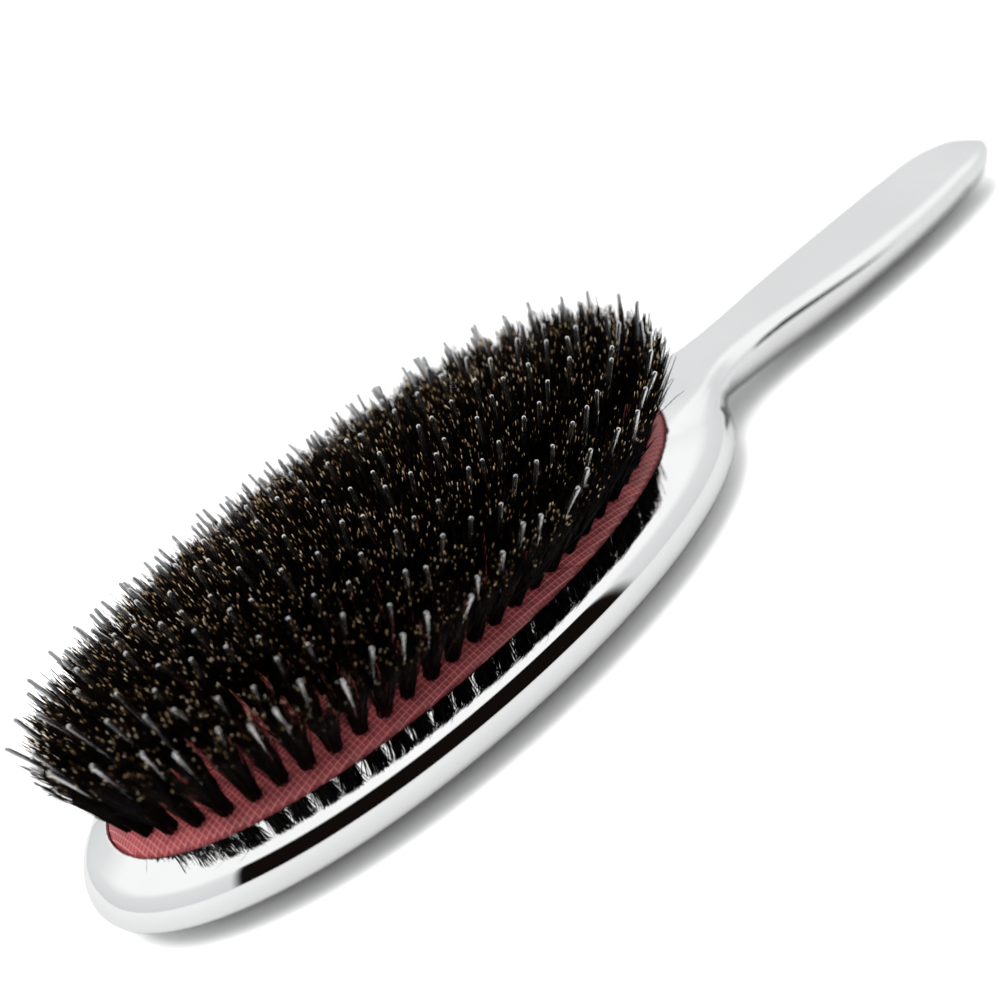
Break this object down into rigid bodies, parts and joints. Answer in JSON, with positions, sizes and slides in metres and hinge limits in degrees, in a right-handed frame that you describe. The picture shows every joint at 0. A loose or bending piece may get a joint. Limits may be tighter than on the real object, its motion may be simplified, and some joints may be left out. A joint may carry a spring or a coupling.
{
  "type": "oval cushion hair brush",
  "caption": "Oval pneumatic hair brush: plated two-part body with flat-topped handle, domed rubber cushion that sinks when pressed, rings of bristle tufts each with a nylon pin.",
  "frame": {"origin": "centre of the head's oval on the flat land of its back, which is the resting plane", "axes": "+X from the head along the handle to its end, +Y across the head, +Z out through the bristles"},
  "size_m": [0.225, 0.0724, 0.04],
  "materials": {
    "chrome_plating": "polished",
    "cushion_rubber": "matte",
    "boar_bristle": "satin",
    "clear_nylon": "gloss",
    "anchor_steel": "satin"
  },
  "bodies": {
    "handle_body": {"front_shell": "chrome_plating", "back_shell": "chrome_plating", "air_cushion": "cushion_rubber"},
    "tuft_ring_1": {"bristle_tufts_ring_1": "boar_bristle", "nylon_pins_ring_1": "clear_nylon", "anchor_wires_ring_1": "anchor_steel"},
    "tuft_ring_2": {"bristle_tufts_ring_2": "boar_bristle", "nylon_pins_ring_2": "clear_nylon", "anchor_wires_ring_2": "anchor_steel"},
    "tuft_ring_3": {"bristle_tufts_ring_3": "boar_bristle", "nylon_pins_ring_3": "clear_nylon", "anchor_wires_ring_3": "anchor_steel"},
    "tuft_ring_4": {"bristle_tufts_ring_4": "boar_bristle", "nylon_pins_ring_4": "clear_nylon", "anchor_wires_ring_4": "anchor_steel"},
    "tuft_ring_5": {"bristle_tufts_ring_5": "boar_bristle", "nylon_pins_ring_5": "clear_nylon", "anchor_wires_ring_5": "anchor_steel"}
  },
  "joints": [
    {"name": "cushion_press", "type": "slide", "parent": "handle_body", "child": "tuft_ring_5", "axis": [0, 0, 1], "range_m": [-0.0045, 0], "stiffness_N_per_m": 1500, "deforming": ["air_cushion"]},
    {"name": "ring_4_sink", "type": "slide", "parent": "handle_body", "child": "tuft_ring_4", "axis": [0, 0, 1], "range_m": [-0.00427, 0]},
    {"name": "ring_3_sink", "type": "slide", "parent": "handle_body", "child": "tuft_ring_3", "axis": [0, 0, 1], "range_m": [-0.00378, 0]},
    {"name": "ring_2_sink", "type": "slide", "parent": "handle_body", "child": "tuft_ring_2", "axis": [0, 0, 1], "range_m": [-0.003, 0]},
    {"name": "ring_1_sink", "type": "slide", "parent": "handle_body", "child": "tuft_ring_1", "axis": [0, 0, 1], "range_m": [-0.00175, 0]}
  ],
  "couplings": [
    {"joint": "ring_4_sink", "follows": "cushion_press", "ratio": 0.9446},
    {"joint": "ring_3_sink", "follows": "cushion_press", "ratio": 0.8365},
    {"joint": "ring_2_sink", "follows": "cushion_press", "ratio": 0.663},
    {"joint": "ring_1_sink", "follows": "cushion_press", "ratio": 0.3852}
  ]
}
